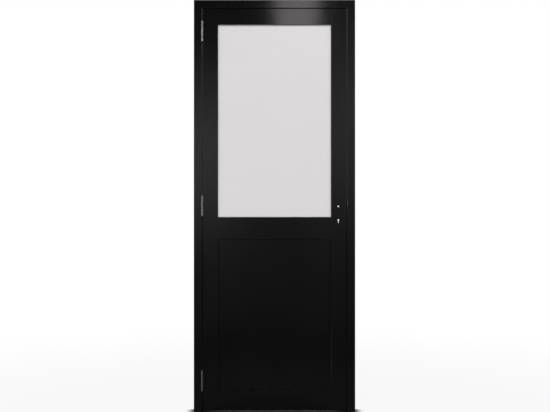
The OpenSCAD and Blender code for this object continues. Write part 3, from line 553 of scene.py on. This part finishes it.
def make_brad():
    """One brad head, pointing up from the origin: a short drum with a rounded rim and the dent of
    a nail punch."""
    clear_selection()
    bpy.ops.mesh.primitive_cylinder_add(
        vertices=BRAD_SIDES,
        radius=BRAD_HEAD_R,
        depth=BRAD_HEAD_RISE + BRAD_SUNK,
        location=(0.0, 0.0, (BRAD_HEAD_RISE - BRAD_SUNK) / 2.0),
    )
    brad = bpy.context.object
    bpy.ops.object.transform_apply(location=True, rotation=True, scale=True)
    bpy.ops.object.mode_set(mode="EDIT")
    bpy.ops.mesh.select_mode(type="FACE")
    select_top(brad)
    bpy.ops.mesh.bevel(offset=RIM_ROUND, segments=RIM_STEPS, affect="EDGES")
    select_top(brad)
    bpy.ops.mesh.inset(thickness=PUNCH_RIM, depth=0.0)
    bpy.ops.mesh.inset(thickness=PUNCH_SLOPE, depth=-PUNCH_DEPTH)
    bpy.ops.object.mode_set(mode="OBJECT")
    bpy.ops.object.shade_smooth_by_angle(angle=SMOOTH_UP_TO)
    return brad


def brad_spots():
    """Where each brad sits and the way its head faces, along the bevels of the four beads."""
    low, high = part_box("lock_side_bead")
    sight_x, back_y = low[0], high[1]
    bottom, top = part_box("bottom_bead")[1][2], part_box("top_bead")[0][2]
    out_x, mid_y = sight_x + BEVEL_MID, back_y - BEVEL_MID
    spots = []
    for step in range(UPRIGHT_BRADS):
        z = bottom + END_GAP + (top - bottom - 2.0 * END_GAP) * step / (UPRIGHT_BRADS - 1)
        spots += [((side * out_x, mid_y, z), (-side, 1.0, 0.0)) for side in (-1.0, 1.0)]
    for step in range(LEVEL_BRADS):
        x = -sight_x + END_GAP + 2.0 * (sight_x - END_GAP) * step / (LEVEL_BRADS - 1)
        spots.append(((x, mid_y, top + BEVEL_MID), (0.0, 1.0, -1.0)))
        spots.append(((x, mid_y, bottom - BEVEL_MID), (0.0, 1.0, 1.0)))
    return spots


def make_bead_brads():
    """All the brads, copied from one and joined into one piece."""
    first = make_brad()
    copies = []
    for place, facing in brad_spots():
        copy = first.copy()
        copy.data = first.data.copy()
        copy.location = place
        copy.rotation_euler = Vector(facing).to_track_quat("Z", "Y").to_euler()
        bpy.context.scene.collection.objects.link(copy)
        copies.append(copy)
    bpy.data.objects.remove(first)
    clear_selection()
    for copy in copies:
        copy.select_set(True)
    bpy.context.view_layer.objects.active = copies[0]
    bpy.ops.object.join()
    bpy.ops.object.transform_apply(location=True, rotation=True, scale=True)
    brads = bpy.context.object
    brads.name = "bead_brads"
    brads.data.materials.clear()
    brads.data.materials.append(upright_paint)
    return brads


bead_brads = make_bead_brads()
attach(bead_brads, "leaf")

# Floor: far wider than any view of the door
FLOOR_HALF = 40.0
FLOOR_DROP = 0.0004
FLOOR_PAPER = (0.30, 0.30, 0.30, 1.0)
# Painted shade: the paper's colour where the door stands close over it
PAINTED_SHADE_PAPER = (0.012, 0.012, 0.012, 1.0)
PAPER_ROUGHNESS = 0.9
PAPER_SHINE = 0.1
# How open the floor is to the room above it, looking this far: bands for its white and for its
# colour, which is darkened to a painted shade where the door stands close over it
COVER_REACH = 0.12
COVER_SAMPLES = 20
WHITE_BAND = (0.62, 0.80)
PAINTED_SHADE_BAND = (0.30, 0.60)
# Share of white near the door, which leaves its shadow, and away from it
SHADOW_FADE = (0.8, 4.0, 0.92, 1.0)
# Share of white where the floor is mirrored: behind the door, far away, and close by on the left
BACK_MIRRORED = 0.4
FAR_MIRRORED = 0.17
LEFT_MIRRORED = 1.0
BACK_FADE = (0.05, 0.6, 0.0, BACK_MIRRORED)
FAR_FADE = (2.5, 6.0, 0.0, FAR_MIRRORED)
LEFT_FADE = (-0.6, -1.0, 0.0, LEFT_MIRRORED)
NEAR_BAND = (3.6, 2.2)


def white_share(tree, mirrored):
    """All white where the camera or the glass looks, and the mirrored share in reflections."""
    rays = put(tree, "LightPath")
    glossy = sums(tree, "MULTIPLY", rays.outputs["Is Glossy Ray"], mirrored)
    looks = (rays.outputs["Is Camera Ray"], rays.outputs["Is Transmission Ray"])
    return sums(tree, "MAXIMUM", sums(tree, "MAXIMUM", *looks), glossy)


def make_floor():
    """A flat pale floor."""
    clear_selection()
    bpy.ops.mesh.primitive_plane_add(size=2.0 * FLOOR_HALF, location=(0.0, 0.0, -FLOOR_DROP))
    floor = bpy.context.object
    floor.name = "studio_floor"
    bpy.ops.object.transform_apply(location=True, rotation=True, scale=True)
    return floor


def make_floor_finish():
    """Pale paper. It is white where it is seen directly or through glass, apart from where the door
    stands close over it; there its colour is also darkened to a painted shade. Near the door it
    keeps some of its own shade, so that the shadow shows, and mirrored in the door it is dimmer."""
    finish = bpy.data.materials.new("floor_paper")
    finish.use_nodes = True
    tree = finish.node_tree
    shader = tree.nodes["Principled BSDF"]
    shader.inputs["Roughness"].default_value = PAPER_ROUGHNESS
    shader.inputs["Specular IOR Level"].default_value = PAPER_SHINE
    spot = put(tree, "TexCoord").outputs["Object"]
    place = put(tree, "SeparateXYZ", {0: spot})
    cover = put(tree, "AmbientOcclusion", {"Distance": COVER_REACH}, samples=COVER_SAMPLES)
    clear = ramp(tree, cover.outputs["AO"], *WHITE_BAND)
    # Painted shade: the paper's colour darkens towards the shaded paper where the door covers the
    # floor
    free_of_painted_shade = ramp(tree, cover.outputs["AO"], *PAINTED_SHADE_BAND)
    colour = blend_colours(tree, free_of_painted_shade, PAINTED_SHADE_PAPER, FLOOR_PAPER)
    tree.links.new(colour, shader.inputs["Base Color"])
    away = distance(tree, spot)
    behind = ramp(tree, place.outputs["Y"], *BACK_FADE)
    left = ramp(tree, place.outputs["X"], *LEFT_FADE)
    left = sums(tree, "MULTIPLY", left, ramp(tree, away, *NEAR_BAND))
    mirrored = sums(tree, "MAXIMUM", behind, ramp(tree, away, *FAR_FADE))
    mirrored = sums(tree, "MAXIMUM", mirrored, left)
    share = sums(tree, "MULTIPLY", white_share(tree, mirrored), clear)
    share = sums(tree, "MULTIPLY", share, ramp(tree, away, *SHADOW_FADE))
    light = put(tree, "Emission", {"Color": WHITE, "Strength": 1.0})
    both = put(tree, "MixShader", {0: share, 1: shader.outputs[0], 2: light.outputs[0]})
    tree.links.new(both.outputs[0], tree.nodes["Material Output"].inputs["Surface"])
    return finish


floor = make_floor()
floor.data.materials.append(make_floor_finish())

# Lamps and cards. Places and sizes are in metres, spreads in degrees, powers in watts
DOOR_FRONT = (0.0, 0.0, 1.25)
DOOR_BACK = (0.0, 0.0, 1.1)
COOL_PINK = (1.0, 0.93, 0.95, 1.0)
PALE_PINK = (1.0, 0.95, 0.97, 1.0)
PALE_ROSE = (1.0, 0.94, 0.97, 1.0)
UPRIGHT = (math.pi / 2.0, 0.0, 0.0)
# Name, place, what it points at, side, spread, power
SOFTBOXES = [
    ("key_left", (-3.0, -2.6, 2.0), DOOR_FRONT, 2.0, 75.0, 20.0),
    ("key_right", (3.0, -2.6, 2.0), DOOR_FRONT, 2.0, 75.0, 17.0),
    ("back_left", (-2.6, 2.7, 2.4), DOOR_BACK, 1.8, 110.0, 26.0),
    ("back_right", (2.6, 2.7, 2.4), DOOR_BACK, 1.8, 110.0, 26.0),
]
# Name, place, half width, half height, radiance, tint, share of it that glows evenly
GLOW_CARDS = [
    ("glow_left", (-0.85, -5.7, 1.60), 1.5, 1.32, 1.36, WHITE, 0.0),
    ("glow_right", (0.80, -5.7, 1.93), 1.2, 1.65, 0.97, COOL_PINK, 0.0),
    ("back_glow_left", (-0.7, 6.5, 1.75), 1.5, 1.7, 0.6, WHITE, 0.0),
    ("back_glow_right", (1.0, 6.5, 2.3), 1.3, 1.7, 0.45, PALE_PINK, 0.0),
    ("top_rail_glow", (0.134, -1.0, 2.27), 0.15, 0.45, 5.2, PALE_ROSE, 0.75),
]


def softbox(name, place, target, side, spread, power):
    """A square soft lamp with its light held to a cone. It isn't seen directly or through glass."""
    lamp = bpy.data.lights.new(name, "AREA")
    lamp.shape = "SQUARE"
    lamp.size = side
    lamp.spread = math.radians(spread)
    lamp.energy = power
    holder = bpy.data.objects.new(name, lamp)
    bpy.context.scene.collection.objects.link(holder)
    holder.location = place
    way = Vector(target) - holder.location
    holder.rotation_euler = way.to_track_quat("-Z", "Y").to_euler()
    holder.visible_camera = False
    holder.visible_transmission = False


def glow_card(name, place, half_width, half_height, radiance, tint, core):
    """A standing card that glows evenly over its core and fades to nothing at its rim. It shows
    in reflections only."""
    clear_selection()
    bpy.ops.mesh.primitive_plane_add(size=2.0, location=place)
    card = bpy.context.object
    card.name = name
    card.scale = (half_width, half_height, 1.0)
    card.rotation_euler = UPRIGHT
    card.visible_camera = False
    card.visible_diffuse = False
    card.visible_transmission = False
    card.visible_shadow = False
    finish = bpy.data.materials.new(name)
    finish.use_nodes = True
    tree = finish.node_tree
    tree.nodes.remove(tree.nodes["Principled BSDF"])
    reach = distance(tree, put(tree, "TexCoord").outputs["Object"])
    strength = ramp(tree, reach, 1.0, core, 0.0, radiance)
    light = put(tree, "Emission", {"Color": tint, "Strength": strength})
    clear = put(tree, "BsdfTransparent")
    both = put(tree, "AddShader", {0: clear.outputs[0], 1: light.outputs[0]})
    tree.links.new(both.outputs[0], tree.nodes["Material Output"].inputs["Surface"])
    card.data.materials.append(finish)


for lamp_facts in SOFTBOXES:
    softbox(*lamp_facts)
for card_facts in GLOW_CARDS:
    glow_card(*card_facts)

# World: dim grey light
WORLD_LIGHT = 0.12
WORLD_BACK_FADE = (0.0, 0.3, 0.0, BACK_MIRRORED)


def make_world():
    """The room's own light. It is white where the camera or the glass looks, and paler where the
    back of the door mirrors it."""
    world = bpy.data.worlds.new("studio_room")
    world.use_nodes = True
    tree = world.node_tree
    background = tree.nodes["Background"]
    way = put(tree, "SeparateXYZ", {0: put(tree, "TexCoord").outputs["Generated"]})
    white = white_share(tree, ramp(tree, way.outputs["Y"], *WORLD_BACK_FADE))
    strength = ramp(tree, white, 0.0, 1.0, WORLD_LIGHT, 1.0)
    tree.links.new(strength, background.inputs["Strength"])
    background.inputs["Color"].default_value = WHITE
    return world


bpy.context.scene.world = make_world()

# Camera, square on to the leaf, with the door filling the picture's height
CAMERA_PLACE = (0.0025, -5.545, 1.0464)
SENSOR_WIDTH = 36.0
FOCAL_LENGTH = 70.96
lens = bpy.data.cameras.new("front_camera")
lens.sensor_width = SENSOR_WIDTH
lens.lens = FOCAL_LENGTH
camera = bpy.data.objects.new("front_camera", lens)
bpy.context.scene.collection.objects.link(camera)
camera.location = CAMERA_PLACE
camera.rotation_euler = UPRIGHT
bpy.context.scene.camera = camera
bpy.context.scene.view_settings.view_transform = "Standard"
